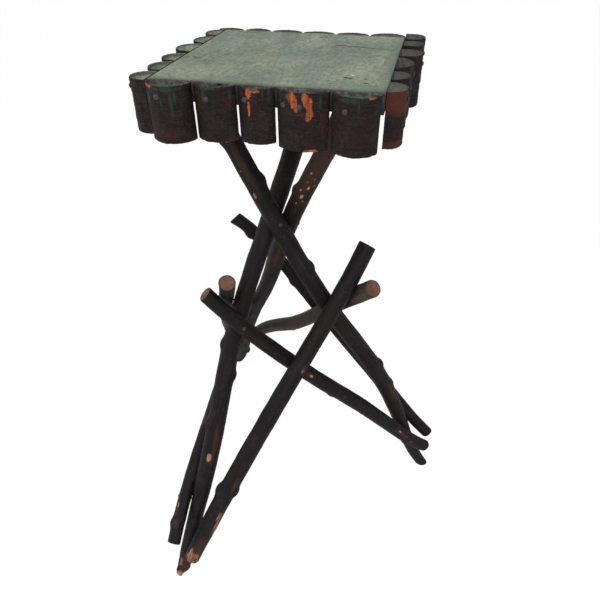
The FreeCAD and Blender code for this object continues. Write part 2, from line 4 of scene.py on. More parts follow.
import bmesh
import bpy
from mathutils import Matrix, Vector, noise
from mathutils.bvhtree import BVHTree


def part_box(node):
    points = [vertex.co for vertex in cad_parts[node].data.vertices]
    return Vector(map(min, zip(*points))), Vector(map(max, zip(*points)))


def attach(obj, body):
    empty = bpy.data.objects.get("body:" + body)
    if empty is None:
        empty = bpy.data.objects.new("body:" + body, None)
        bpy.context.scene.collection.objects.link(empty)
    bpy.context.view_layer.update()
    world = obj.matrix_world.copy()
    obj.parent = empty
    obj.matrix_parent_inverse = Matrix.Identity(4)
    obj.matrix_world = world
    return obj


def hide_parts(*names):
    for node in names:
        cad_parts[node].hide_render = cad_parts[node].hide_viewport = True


# A rustic table of bark-covered sticks: three long legs that cross below a small painted board, six
# braces nailed across them, and a skirt of split logs round the board's edges. Metres throughout.

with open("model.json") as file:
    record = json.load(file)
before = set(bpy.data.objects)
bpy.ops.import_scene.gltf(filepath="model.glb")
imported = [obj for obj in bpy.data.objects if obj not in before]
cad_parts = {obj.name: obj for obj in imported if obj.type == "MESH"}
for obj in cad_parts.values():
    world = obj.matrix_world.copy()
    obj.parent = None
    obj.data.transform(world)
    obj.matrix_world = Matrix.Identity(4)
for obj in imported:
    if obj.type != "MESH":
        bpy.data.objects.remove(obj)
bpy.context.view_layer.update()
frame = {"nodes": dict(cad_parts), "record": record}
nodes = frame["nodes"]
scene = bpy.context.scene
scene.view_settings.view_transform = "Standard"

# The view: from the front and a little to the right, above the height of the board, looking down
# at the crossing sticks. It is placed from the middle of the board's top face.
VIEW_FROM_TOP = Vector((0.1639, -0.6436, 0.1536))
VIEW_AHEAD = Vector((-0.1830, 0.7611, -0.6223)).normalized()
VIEW_ROLL = math.radians(-0.48)
LENS_MM, FILM_MM = 30.85, 36
NEAREST_SEEN = 0.01
top_middle = Vector(frame["record"]["mounts"][0]["pos_m"])
level_right = VIEW_AHEAD.cross(Vector((0, 0, 1))).normalized()
level_up = level_right.cross(VIEW_AHEAD)
view_right = level_right * math.cos(VIEW_ROLL) + level_up * math.sin(VIEW_ROLL)
view_up = level_up * math.cos(VIEW_ROLL) - level_right * math.sin(VIEW_ROLL)
lens = bpy.data.cameras.new("view")
lens.lens = LENS_MM
lens.sensor_width = FILM_MM
lens.clip_start = NEAREST_SEEN
camera = bpy.data.objects.new("view", lens)
camera.matrix_world = Matrix.Translation(top_middle + VIEW_FROM_TOP) @ Matrix(
    (view_right, view_up, -VIEW_AHEAD)).transposed().to_4x4()
scene.collection.objects.link(camera)
scene.camera = camera


# The floor: a wide pale studio floor that shows nearly white and keeps a soft shadow of the table,
# under an even pale sky with one broad lamp above the front and a weaker one from the left.
def new_material(name):
    """A material with an empty node tree."""
    material = bpy.data.materials.new(name)
    material.use_nodes = True
    material.node_tree.nodes.clear()
    return material, material.node_tree


def add(tree, kind, **settings):
    """A new shader node; a setting that starts with in_ is the value of one of its inputs."""
    node = tree.nodes.new(kind)
    for key, value in settings.items():
        if key.startswith("in_"):
            node.inputs[key[3:].replace("_", " ")].default_value = value
        else:
            setattr(node, key, value)
    return node


def join(source, target):
    """Link an output to an input of the same tree."""
    target.id_data.links.new(source, target)


WHITE = (1, 1, 1, 1)
FLOOR_HALF = 20
FLOOR_PAINT = (0.86, 0.86, 0.85, 1)
# how brightly the floor glows to the eye, and how much of what the eye sees is that glow
FLOOR_GLOW, GLOW_SHARE = 1.02, 0.93
SKY_TINT, SKY_STRENGTH = (0.95, 0.97, 1.0, 1), 0.62
LAMP_AIM = Vector((0, 0, 0.45))

floor_mesh = bmesh.new()
bmesh.ops.create_grid(floor_mesh, x_segments=1, y_segments=1, size=FLOOR_HALF)
floor_data = bpy.data.meshes.new("floor")
floor_mesh.to_mesh(floor_data)
floor_mesh.free()
floor = bpy.data.objects.new("floor", floor_data)
scene.collection.objects.link(floor)
pale_floor, tree = new_material("pale studio floor")
matt = add(tree, "ShaderNodeBsdfDiffuse", in_Color=FLOOR_PAINT)
lit = add(tree, "ShaderNodeEmission", in_Color=WHITE, in_Strength=FLOOR_GLOW)
seen = add(tree, "ShaderNodeLightPath").outputs["Is Camera Ray"]
seen_share = add(tree, "ShaderNodeMath", operation="MULTIPLY")
seen_share.inputs[1].default_value = GLOW_SHARE
choice = add(tree, "ShaderNodeMixShader")
out = add(tree, "ShaderNodeOutputMaterial")
join(seen, seen_share.inputs[0])
join(seen_share.outputs[0], choice.inputs[0])
join(matt.outputs[0], choice.inputs[1])
join(lit.outputs[0], choice.inputs[2])
join(choice.outputs[0], out.inputs["Surface"])
floor_data.materials.append(pale_floor)

world = bpy.data.worlds.new("pale sky")
scene.world = world
world.use_nodes = True
sky = world.node_tree
sky.nodes.clear()
glow = add(sky, "ShaderNodeBackground", in_Color=SKY_TINT, in_Strength=SKY_STRENGTH)
white = add(sky, "ShaderNodeBackground", in_Color=WHITE)
choice = add(sky, "ShaderNodeMixShader")
out = add(sky, "ShaderNodeOutputWorld")
join(add(sky, "ShaderNodeLightPath").outputs["Is Camera Ray"], choice.inputs[0])
join(glow.outputs[0], choice.inputs[1])
join(white.outputs[0], choice.inputs[2])
join(choice.outputs[0], out.inputs["Surface"])

for name, place, width, watts, tint in (
        ("front lamp", Vector((0.6, -2.2, 2.6)), 2.2, 62, (1, 0.98, 0.95)),
        ("left lamp", Vector((-2.4, -0.6, 1.6)), 1.6, 22, (0.96, 0.98, 1))):
    lamp_data = bpy.data.lights.new(name, "AREA")
    lamp_data.size = width
    lamp_data.energy = watts
    lamp_data.color = tint
    lamp = bpy.data.objects.new(name, lamp_data)
    lamp.matrix_world = Matrix.Translation(place) @ (
        place - LAMP_AIM).to_track_quat("Z", "Y").to_matrix().to_4x4()
    scene.collection.objects.link(lamp)


# The board: one square of sawn timber under a thick coat of grey-green paint, with patches of bluer
# and yellower green, dark streaks, marks over the nails, a chip at the right and a split at the back.
def finish_piece(mesh, name, materials, node_name):
    """Turn a bmesh into a smooth-shaded piece that stands for a node and rides with the table."""
    data = bpy.data.meshes.new(name)
    mesh.to_mesh(data)
    mesh.free()
    for material in materials:
        data.materials.append(material)
    piece = bpy.data.objects.new(name, data)
    scene.collection.objects.link(piece)
    for face in data.polygons:
        face.use_smooth = True
    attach(piece, "root")
    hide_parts(node_name)


def field(tree, name, output="Fac"):
    """One of the fields that a piece's mesh carries."""
    return add(tree, "ShaderNodeAttribute", attribute_name=name).outputs[output]


def stretched(coordinates, scale, shift=(0, 0, 0)):
    """Coordinates scaled and moved."""
    turn = add(coordinates.id_data, "ShaderNodeMapping", in_Scale=scale, in_Location=shift)
    join(coordinates, turn.inputs["Vector"])
    return turn.outputs["Vector"]


def clouds(coordinates, stretch, size, detail, roughness, shift=(0, 0, 0)):
    """Noise over stretched coordinates; size is how many waves fit in a metre."""
    wave = add(coordinates.id_data, "ShaderNodeTexNoise", in_Scale=size, in_Detail=detail,
               in_Roughness=roughness)
    join(stretched(coordinates, stretch, shift), wave.inputs["Vector"])
    return wave.outputs["Fac"]


def worked(operation, first, second):
    """A value put together with another value or a number."""
    node = add(first.id_data, "ShaderNodeMath", operation=operation)
    join(first, node.inputs[0])
    if isinstance(second, (int, float)):
        node.inputs[1].default_value = second
    else:
        join(second, node.inputs[1])
    return node.outputs[0]


def times(first, second):
    """Two values multiplied."""
    return worked("MULTIPLY", first, second)


def blend(*parts):
    """A sum of values, each times its weight."""
    total = times(*parts[0])
    for value, weight in parts[1:]:
        total = worked("ADD", total, times(value, weight))
    return total


def steep(value, low, high):
    """A value cut into a mask that rises from nothing at low to full at high."""
    node = add(value.id_data, "ShaderNodeMapRange", interpolation_type="SMOOTHSTEP", in_From_Min=low,
               in_From_Max=high)
    join(value, node.inputs["Value"])
    return node.outputs["Result"]


def broken(place, wave, weight, low, high):
    """A mask of a field's place, its edge broken up by noise."""
    return steep(worked("ADD", place, times(wave, weight)), low, high)


def ramp(value, *stops):
    """A colour for a value, between stops of a value and its colour."""
    node = add(value.id_data, "ShaderNodeValToRGB")
    elements = node.color_ramp.elements
    while len(elements) < len(stops):
        elements.new(0.5)
    for element, (place, colour) in zip(elements, stops):
        element.position = place
        element.color = (*colour, 1)
    join(value, node.inputs[0])
    return node.outputs[0]


def over(amount, below, above):
    """One colour laid over another where amount is high."""
    node = add(amount.id_data, "ShaderNodeMix", data_type="RGBA")
    join(amount, node.inputs[0])
    for socket, colour in ((node.inputs[6], below), (node.inputs[7], above)):
        if isinstance(colour, tuple):
            socket.default_value = (*colour, 1)
        else:
            join(colour, socket)
    return node.outputs[2]


def coated(colour, coats):
    """A colour under coats, each where it shows and its own colour."""
    for amount, tint in coats:
        colour = over(amount, colour, tint)
    return colour


def relief(height, depth, strength, below=None):
    """A bump of a depth in metres, on top of another."""
    node = add(height.id_data, "ShaderNodeBump", in_Strength=strength, in_Distance=depth)
    join(height, node.inputs["Height"])
    if below is not None:
        join(below, node.inputs["Normal"])
    return node.outputs["Normal"]


def finish_material(colour, bumps, roughness, roughened_by=None, **settings):
    """Give a material its surface; its roughness is even, or spread between two values by noise."""
    tree = colour.id_data
    skin = add(tree, "ShaderNodeBsdfPrincipled", **settings)
    join(colour, skin.inputs["Base Color"])
    join(bumps, skin.inputs["Normal"])
    if roughened_by is None:
        skin.inputs["Roughness"].default_value = roughness
    else:
        spread = add(tree, "ShaderNodeMapRange", in_To_Min=roughness[0], in_To_Max=roughness[1])
        join(roughened_by, spread.inputs["Value"])
        join(spread.outputs["Result"], skin.inputs["Roughness"])
    out = add(tree, "ShaderNodeOutputMaterial")
    join(skin.outputs[0], out.inputs["Surface"])


paint, tree = new_material("worn green paint")
here = add(tree, "ShaderNodeTexCoord").outputs["Object"]
patches = clouds(here, (1.4, 0.7, 1), 24, 5.0, 0.62)
blues = clouds(here, (1.3, 0.7, 1), 14, 4.0, 0.6, (3.1, 0.7, 0))
streaks = clouds(here, (1.6, 0.7, 1), 120, 6.0, 0.72)
scratches = clouds(here, (1.3, 0.9, 1), 190, 5.0, 0.75, (1.3, 2.2, 0))
dust = clouds(here, (1.1, 0.6, 1), 420, 5.0, 0.75)
mottle = clouds(here, (1.6, 0.75, 1), 130, 6.0, 0.75, (4.4, 1.9, 0))
green = ramp(blend((patches, 0.35), (mottle, 0.4), (dust, 0.25)),
             (0.41, (0.076, 0.102, 0.066)), (0.47, (0.140, 0.172, 0.112)),
             (0.53, (0.190, 0.220, 0.148)), (0.60, (0.310, 0.325, 0.225)))
paint_colour = coated(green, (
    # bluer patches, then pale and dark streaks of the brush
    (times(steep(blues, 0.48, 0.66), 0.6), (0.112, 0.186, 0.136)),
    (times(steep(streaks, 0.52, 0.68), 0.5), (0.280, 0.298, 0.208)),
    (times(steep(streaks, 0.47, 0.34), 0.7), (0.070, 0.084, 0.060)),
    # dark scratches and pale dust in the coat
    (times(steep(scratches, 0.555, 0.65), 0.8), (0.040, 0.046, 0.034)),
    (times(steep(dust, 0.57, 0.70), 0.45), (0.360, 0.368, 0.290)),
    # yellowed and greener patches
    (times(field(tree, "cream"), steep(mottle, 0.34, 0.60)), (0.330, 0.312, 0.218)),
    (times(field(tree, "teal"), steep(mottle, 0.66, 0.36)), (0.086, 0.166, 0.124)),
    # grime, then marks and cracks
    (broken(field(tree, "soiled"), mottle, 0.9, 0.50, 1.45), (0.036, 0.030, 0.028)),
    (broken(field(tree, "mark"), dust, 0.8, 0.55, 1.0), (0.030, 0.026, 0.022)),
    # the dark rims of the logs' tops, and the pale ground under a chip
    (times(broken(field(tree, "rim"), mottle, 1.0, 0.85, 1.25), 0.85), (0.030, 0.024, 0.022)),
    (broken(field(tree, "chip"), dust, 0.5, 0.65, 0.85), (0.66, 0.62, 0.54))))
finish_material(paint_colour, relief(dust, 0.0003, 0.6, relief(streaks, 0.0009, 0.6)), (0.42, 0.68), patches)


def bare_timber(name, stretch, dark, middle, pale, own_grain=False):
    """Unpainted old timber, dark with age, its grain along the axes that are stretched least; the tones
    given for the board's sides also paint the shade of the gaps they are seen through.
    """
    timber, tree = new_material(name)
    here = field(tree, "grain", "Vector") if own_grain else add(tree, "ShaderNodeTexCoord").outputs["Object"]
    fibres = clouds(here, stretch, 120, 6.0, 0.65)
    stains = clouds(here, (1, 1, 1), 28, 4.0, 0.6)
    brown = ramp(blend((fibres, 0.6), (stains, 0.4)), (0.3, dark), (0.52, middle), (0.75, pale))
    finish_material(brown, relief(fibres, 0.0009, 0.7), 0.72)
    return timber


# the board's sides, seen only through the narrow gaps between the logs: unpainted old timber, partly its own
# dark brown and partly painted shade of those gaps
board_edge_and_gap_shade = bare_timber("board edge with painted gap shade", (0.12, 0.12, 1.6), (0.006, 0.004, 0.003),
                           (0.015, 0.009, 0.007), (0.040, 0.024, 0.018))


def ripple(x, y, z):
    """Smooth noise between -1 and 1 at a place."""
    return noise.noise(Vector((x, y, z)))


def fade(distance, reach):
    """Full at no distance, and nothing from the reach on."""
    return max(0.0, 1 - distance / reach)


def held(value):
    """A value held between 0 and 1."""
    return max(0.0, min(1.0, value))


BOARD_CELLS = 150
# room left for the logs at the left and right, both together
SIDE_ROOM = 0.0012
# small marks in the paint: place from the board's middle, reach and strength
nail_marks = (
    (-0.1102, -0.0300, 0.0026, 0.9), (-0.1050, -0.0330, 0.0024, 1.0), (-0.1010, -0.0290, 0.0018, 0.7),
    (0.0175, 0.1030, 0.0030, 0.9), (0.0235, 0.1060, 0.0026, 0.9), (0.0290, 0.1090, 0.0020, 0.6),
    (0.0800, -0.0790, 0.0030, 1.0), (0.0850, -0.0800, 0.0026, 1.0), (0.1010, -0.0800, 0.0022, 0.8),
    (0.1036, -0.0948, 0.0026, 0.9), (0.0400, -0.0560, 0.0014, 0.7), (-0.0300, 0.0700, 0.0013, 0.6),
    (0.0690, 0.0120, 0.0013, 0.6), (-0.0650, -0.0560, 0.0014, 0.6), (0.0100, 0.0300, 0.0012, 0.6))
MARK_DARKNESS, MARK_FULL, MARK_DEPTH = 1.3, 1.3, 0.00045
# the split's bends: place from the middle, half width and darkness
split_line = ((0.0449, 0.0623, 0.0022, 1.3), (0.0722, 0.0594, 0.0025, 1.3),
              (0.0880, 0.0560, 0.0024, 1.0), (0.1205, 0.0502, 0.0024, 0.6))
SPLIT_DEPTH = 0.0006
# the chip's place from the middle, and its half length and half width
CHIP_X, CHIP_Y, CHIP_LONG, CHIP_WIDE = 0.0853, -0.0687, 0.0042, 0.0018
# broad patches where the paint is yellowed or bluer: place from the middle, half lengths, strength
cream_patches = ((-0.082, -0.088, 0.045, 0.024, 0.6), (0.090, -0.050, 0.026, 0.040, 0.5),
                 (0.010, -0.020, 0.060, 0.016, 0.3), (0.050, 0.100, 0.040, 0.012, 0.3))
teal_patches = ((-0.090, 0.070, 0.050, 0.045, 0.6), (-0.020, -0.095, 0.060, 0.024, 0.4),
                (0.075, 0.030, 0.050, 0.030, 0.4), (0.100, -0.110, 0.030, 0.020, 0.4))
# grime along the front and the right edge: strength and reach
FRONT_GRIME, FRONT_GRIME_REACH = 0.85, 0.014
RIGHT_GRIME, RIGHT_GRIME_REACH = 0.45, 0.02
# the worn-down left and right edges, and the cracked paint over the joints at the front and back
SIDE_DROP, SIDE_DROP_REACH = 0.0011, 0.0032
SIDE_WEAR, SIDE_WEAR_REACH = 0.4, 0.003
JOINT_DROP, JOINT_DROP_REACH = 0.0006, 0.0018
JOINT_CRACK, JOINT_CRACK_REACH = 1.3, 0.0058
BRUSH_DEPTH = 0.00012


def patch_at(patches, x, y):
    """How strongly a place on the board lies in soft-edged patches."""
    ragged = 0.45 * ripple(x * 40, y * 60, 2)
    return max(strength * held(1.4 + ragged - math.hypot((x - mid_x) / long, (y - mid_y) / wide))
               for mid_x, mid_y, long, wide, strength in patches)


def split_at(x, y):
    """How strongly a place on the board lies in each stretch of the split."""
    strengths = []
    for (x0, y0, wide0, dark0), (x1, y1, wide1, dark1) in zip(split_line, split_line[1:]):
        along = held(((x - x0) * (x1 - x0) + (y - y0) * (y1 - y0)) / ((x1 - x0) ** 2 + (y1 - y0) ** 2))
        off = math.hypot(x - x0 - along * (x1 - x0), y - y0 - along * (y1 - y0))
        close = fade(off, wide0 + along * (wide1 - wide0))
        strengths.append(close * (dark0 + along * (dark1 - dark0)))
    return strengths


low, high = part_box("top_board")
board_middle = (low + high) / 2
board_size = high - low
slab = bmesh.new()
board_fields = {name: slab.verts.layers.float.new(name)
                for name in ("mark", "chip", "cream", "teal", "soiled")}
bmesh.ops.create_grid(slab, x_segments=BOARD_CELLS, y_segments=BOARD_CELLS, size=0.5)
bmesh.ops.scale(slab, verts=slab.verts, vec=(board_size.x - SIDE_ROOM, board_size.y, 1))
bmesh.ops.translate(slab, verts=slab.verts, vec=(board_middle.x, board_middle.y, low.z))
raised = bmesh.ops.extrude_face_region(slab, geom=slab.faces[:])
top_verts = [item for item in raised["geom"] if isinstance(item, bmesh.types.BMVert)]
bmesh.ops.translate(slab, verts=top_verts, vec=(0, 0, board_size.z))
bmesh.ops.recalc_face_normals(slab, faces=slab.faces)
for face in slab.faces:
    face.material_index = 0 if face.normal.z > 0.5 else 1
for vert in top_verts:
    x, y = vert.co.x - board_middle.x, vert.co.y - board_middle.y
    from_side, from_joint = board_size.x / 2 - abs(x), board_size.y / 2 - abs(y)
    cracked = held(0.6 + 2.0 * ripple(x * 34, y, 7))
    wear = SIDE_WEAR * fade(from_side, SIDE_WEAR_REACH) * (0.6 + ripple(x * 90, y * 90, 4))
    crack = JOINT_CRACK * cracked * fade(from_joint, JOINT_CRACK_REACH) * (
        0.75 + 0.9 * ripple(x * 110, y * 240, 5))
    darkness = [wear, crack]
    sink = BRUSH_DEPTH * (1 + ripple(x * 30, y * 60, 0))
    sink += SIDE_DROP * fade(from_side, SIDE_DROP_REACH) ** 2
    sink += JOINT_DROP * cracked * fade(from_joint, JOINT_DROP_REACH)
    for mark_x, mark_y, reach, strength in nail_marks:
        far = math.hypot(x - mark_x, y - mark_y) / reach
        darkness.append(MARK_DARKNESS * strength * max(0.0, MARK_FULL - far))
        sink += MARK_DEPTH * strength * fade(far * far, 1.6)
    for strength in split_at(x, y):
        darkness.append(strength)
        sink += SPLIT_DEPTH * strength
    vert[board_fields["mark"]] = max(darkness)
    vert[board_fields["chip"]] = max(0.0, 1.2 - math.hypot(
        (x - CHIP_X) / CHIP_LONG, (y - CHIP_Y) / CHIP_WIDE))
    vert[board_fields["cream"]] = patch_at(cream_patches, x, y)
    vert[board_fields["teal"]] = patch_at(teal_patches, x, y)
    vert[board_fields["soiled"]] = (FRONT_GRIME * fade(y + board_size.y / 2, FRONT_GRIME_REACH)
                                    + RIGHT_GRIME * fade(board_size.x / 2 - x, RIGHT_GRIME_REACH))
    vert.co.z -= sink
finish_piece(slab, "painted_top", (paint, board_edge_and_gap_shade), "top_board")


# The split logs: short billets split in half, still in their bark, with their flat sides nailed to
# the board's edges. Their sawn tops were painted over, and some rims have lost their bark.
MERGED_WITHIN = 0.00002
# how dark a sawn end's rim goes inwards, as a share of its half width
RIM_SHARE = 0.28


def shape_of(node_name):
    """A search tree of a node's own surface."""
    return BVHTree.FromObject(nodes[node_name], bpy.context.evaluated_depsgraph_get())


def tube(around, along, place, fields):
    """A tube; place gives a point, its place in the wood and its fields from the shares round and up."""
    skin = bmesh.new()
    bmesh.ops.create_grid(skin, x_segments=around, y_segments=along, size=0.5)
    layers = {name: skin.verts.layers.float.new(name) for name in fields}
    grain = skin.verts.layers.float_vector.new("grain")
    for vert in skin.verts:
        point, local, values = place(vert.co.x + 0.5, vert.co.y + 0.5)
        vert.co = point
        vert[grain] = local
        for name, layer in layers.items():
            vert[layer] = values[name]
    bmesh.ops.remove_doubles(skin, verts=skin.verts, dist=MERGED_WITHIN)
    return skin


def close_ends(skin, shares, end_material, unevenness):
    """Close each opening with rings drawn in to its middle, slightly uneven, in the end's material."""
    rim = skin.verts.layers.float.new("rim")
    grain = skin.verts.layers.float_vector["grain"]
    filled = bmesh.ops.holes_fill(skin, edges=[edge for edge in skin.edges if edge.is_boundary], sides=0)
    bmesh.ops.recalc_face_normals(skin, faces=skin.faces)
    for cap in filled["faces"]:
        outward = cap.normal.copy()
        middle = cap.calc_center_median()
        wood = sum((vert[grain] for vert in cap.verts), Vector()) / len(cap.verts)
        last = 1.0
        for share in shares:
            drawn = bmesh.ops.extrude_face_region(skin, geom=[cap])["geom"]
            inner = [item for item in drawn if isinstance(item, bmesh.types.BMVert)]
            bmesh.ops.delete(skin, geom=[cap], context="FACES_ONLY")
            cap = next(item for item in drawn if isinstance(item, bmesh.types.BMFace))
            for vert in inner:
                vert.co = middle + (vert.co - middle) * (share / last)
                vert[grain] = wood + (vert[grain] - wood) * (share / last)
                vert.co += outward * unevenness * noise.noise(vert.co * 180)
                vert[rim] = fade(1 - share, RIM_SHARE)
                for face in vert.link_faces:
                    face.material_index = end_material
            last = share
        bmesh.ops.poke(skin, faces=[cap])
    bmesh.ops.recalc_face_normals(skin, faces=skin.faces)


# the bark of logs and sticks has hardly any shine
BARK_SHINE = 0.13
log_bark, tree = new_material("log bark")
grain = field(tree, "grain", "Vector")
rings = clouds(grain, (0.6, 0.6, 7), 115, 6.0, 0.7)
patches = clouds(grain, (1, 1, 0.8), 62, 5.0, 0.62)
crust = clouds(grain, (1, 1, 1.8), 360, 5.0, 0.75)
furrows = clouds(grain, (4, 4, 0.35), 70, 6.0, 0.68)
bared_wood = ramp(blend((furrows, 0.6), (crust, 0.4)), (0.38, (0.065, 0.017, 0.008)),
                  (0.49, (0.21, 0.052, 0.017)), (0.60, (0.42, 0.125, 0.042)))
plain_bark = ramp(blend((rings, 0.45), (crust, 0.55)),
                  (0.37, (0.003, 0.002, 0.002)), (0.45, (0.0085, 0.0055, 0.0058)),
                  (0.54, (0.0165, 0.0098, 0.0100)), (0.64, (0.042, 0.028, 0.028)))
log_colour = coated(plain_bark, (
    # greyer and redder patches, and dark cracks round the log
    (times(steep(patches, 0.50, 0.68), 0.6), (0.023, 0.018, 0.020)),
    (times(steep(patches, 0.50, 0.36), 0.6), (0.020, 0.008, 0.006)),
    (times(steep(rings, 0.44, 0.36), 0.5), (0.003, 0.0022, 0.0022)),
    # reddened bark, drips of paint, and wood that has lost its bark
    (times(broken(field(tree, "red"), crust, 1.0, 0.65, 1.8), 0.85), (0.073, 0.019, 0.0115)),
    (times(broken(field(tree, "drip"), furrows, 1.8, 1.20, 1.90), 0.5), (0.024, 0.052, 0.040)),
    (steep(blend((field(tree, "bare"), 0.7), (furrows, 0.9), (crust, 0.7)), 1.04, 1.26), bared_wood)))
finish_material(log_colour, relief(crust, 0.0007, 0.8, relief(rings, 0.0009, 0.7)), (0.5, 0.8), crust,
                in_Specular_IOR_Level=BARK_SHINE)


def sawn_ends(name, dark, middle, pale, ring_size, dirt):
    """Sawn end grain: rings and checks under old paint or grime."""
    ends, tree = new_material(name)
    grain = field(tree, "grain", "Vector")
    blotches = clouds(grain, (1, 1, 1), 70, 4.0, 0.6)
    fine = clouds(grain, (1, 1, 1), 500, 4.0, 0.7)
    circles = add(tree, "ShaderNodeTexWave", wave_type="RINGS", rings_direction="Z", in_Scale=ring_size,
                  in_Distortion=4.0, in_Detail=3.0, in_Detail_Scale=1.5)
    join(stretched(grain, (1, 1, 0)), circles.inputs["Vector"])
    year_rings = circles.outputs["Fac"]
    end_grain = ramp(blend((blotches, 0.7), (year_rings, 0.3)), (0.25, dark), (0.5, middle), (0.75, pale))
    end_colour = coated(end_grain, (
        (times(steep(fine, 0.55, 0.75), dirt), dark),
        (times(broken(field(tree, "rim"), fine, 0.5, 0.5, 1.2), 0.8), dark)))
    finish_material(end_colour, relief(fine, 0.0004, 0.6, relief(year_rings, 0.0003, 0.5)), 0.62)
    return ends


raw_ends = sawn_ends("raw log ends", (0.024, 0.014, 0.010), (0.072, 0.040, 0.026), (0.150, 0.088, 0.055),
                     120, 0.6)
split_face = bare_timber("split log face", (1.6, 1.6, 0.10), (0.020, 0.011, 0.008), (0.060, 0.031, 0.020),
                         (0.130, 0.075, 0.048), own_grain=True)

# what each log shows: bare wood and reddened or paint-dripped bark, each with its place across the
# log as a share of its width, its middle below the top, its width and its height in millimetres
log_marks = {
    "front_log_1": {
        "bare": ((-0.34, 1.0, 15, 3.5),), "red": ((0.0, 50, 54, 22), (-0.45, 30, 8, 40)),
        "drip": ((-0.33, 13, 5, 16), (-0.02, 14, 4, 24), (0.19, 18, 5, 34), (0.27, 10, 4, 20),
                 (0.1, 3, 40, 6))},
    "front_log_2": {
        "bare": ((0.33, 58, 17, 3.5),), "red": ((-0.28, 16, 9, 22), (0.38, 18, 12, 22), (0.35, 56, 20, 8)),
        "drip": ((-0.17, 9, 6, 18), (0.42, 8, 3, 16), (-0.05, 1, 26, 4))},
    "front_log_3": {
        "bare": ((-0.12, 4, 7, 12), (0.0, 2, 14, 3), (-0.14, 20, 3.5, 16), (0.1, 59, 12, 2.5)),
        "red": ((-0.10, 10, 16, 20), (0.0, 57, 40, 7)), "drip": ((0.4, 6, 3, 18), (0.25, 4, 3, 14))},
    "front_log_4": {
        "bare": ((-0.20, 5, 13, 11), (-0.14, 10, 10, 12), (-0.09, 15, 6, 9), (0.09, 4, 9, 9),
                 (0.15, 10, 10, 15), (0.17, 18, 9, 15), (0.14, 24, 6, 9), (0.19, 59, 19, 4.5)),
        "red": ((0.42, 30, 12, 56), (-0.02, 20, 40, 16)), "drip": ((-0.42, 6, 3, 22), (0.36, 8, 3, 20))},
    "front_log_5": {
        "bare": ((0.36, 1.0, 7, 2.5), (-0.3, 59, 9, 2)), "red": ((-0.46, 30, 6, 46),),
        "drip": ((-0.1, 3, 30, 6), (0.1, 8, 2.5, 20))},
    "right_log_1": {
        "bare": ((-0.1, 59, 24, 3), (0.1, 2, 8, 2.5)), "redness": 1.5,
        "red": ((0.0, 8, 60, 30), (0.0, 12, 60, 24), (0.0, 15, 60, 20), (-0.1, 54, 36, 12))},
    "right_log_2": {"red": ((0.0, 30, 20, 20),), "drip": ((0.1, 5, 16, 10),)},
    "right_log_3": {"red": ((0.1, 22, 12, 30),), "drip": ((-0.2, 8, 5, 20),)},
    "right_log_5": {"red": ((0.0, 10, 40, 26),), "bare": ((0.1, 6, 10, 6),)},
    "left_log_6": {"red": ((-0.1, 34, 36, 52),), "bare": ((0.2, 20, 5, 9),), "drip": ((0.0, 5, 30, 14),)},
    "left_log_5": {"red": ((0.2, 26, 14, 26),), "drip": ((-0.2, 10, 5, 24),)},
    "left_log_3": {"bare": ((0.0, 3, 10, 6),), "red": ((0.1, 20, 20, 26),)},
    "left_log_1": {"drip": ((0.1, 10, 6, 26), (-0.2, 6, 10, 14)), "red": ((0.1, 44, 24, 20),)},
    "back_log_1": {"drip": ((0.2, 10, 5, 24), (-0.1, 6, 20, 10)), "red": ((-0.1, 40, 24, 30),)},
    "back_log_2": {"bare": ((0.1, 10, 7, 16), (0.04, 20, 5, 12)), "red": ((0.0, 30, 20, 30),)},
    "back_log_3": {"drip": ((-0.1, 9, 5, 22),), "bare": ((0.2, 58, 14, 4),)},
    "back_log_4": {"red": ((-0.2, 20, 14, 30),), "drip": ((0.25, 12, 5, 22),)},
    "back_log_6": {"bare": ((-0.2, 57, 14, 5),), "red": ((0.1, 24, 18, 30),)},
}
# each edge's outward and rightward directions, and how grimy the paint on its logs' tops is
edges = {"front": ((0, -1, 0), (1, 0, 0), 0.60), "right": ((1, 0, 0), (0, 1, 0), 0.80),
         "back": ((0, 1, 0), (-1, 0, 0), 0.72), "left": ((-1, 0, 0), (0, -1, 0), 0.10)}
PLAIN_REDNESS = 0.5
LOG_AROUND, LOG_UP = 120, 84
# the share of the way round a log that its round side takes; the flat side has the rest
ROUND_SHARE = 0.72
# a log's outline is read from its node with rays at this height, from just off the flat side
OUTLINE_STEPS, OUTLINE_HEIGHT, OUTLINE_START, OUTLINE_REACH = 96, 0.3, 0.0004, 0.1
LUMP_DEPTH = 0.0007
# finer unevenness of the bark: depth, waves round the log, and waves in a metre of its height
log_roughness = ((0.00045, 7, 160), (0.0003, 24, 60), (0.00022, 3, 520))
# the skin keeps inside the node by a little, and more at its worn ends
SKIN_ROOM, WORN_ROOM, WORN_REACH = 0.0006, 0.0009, 0.0022
BARE_DEPTH = 0.0009
SAW_UNEVENNESS, CAP_UNEVENNESS = 0.0004, 0.0002
log_cap_rings = (0.975, 0.945, 0.9, 0.82, 0.7, 0.55, 0.38, 0.2)
# on the painted top, the rim darkens away from the flat side, and the joint beside it is marked
RIM_START, JOINT_MARK, JOINT_MARK_REACH, TOP_BAND = 0.004, 1.1, 0.0030, 0.004
FLAT_WITHIN = 0.0003


def log_outline(surface, foot, height, outward, rightward):
    """How far a log's round side lies from the middle of its flat side, from left to right."""
    radii = []
    start = Vector((foot.x, foot.y, height)) + outward * OUTLINE_START
    for step in range(OUTLINE_STEPS + 1):
        angle = math.pi * step / OUTLINE_STEPS
        ray = rightward * -math.cos(angle) + outward * math.sin(angle)
        radii.append((surface.ray_cast(start + ray * OUTLINE_REACH, -ray)[0] - start).length)
    return radii


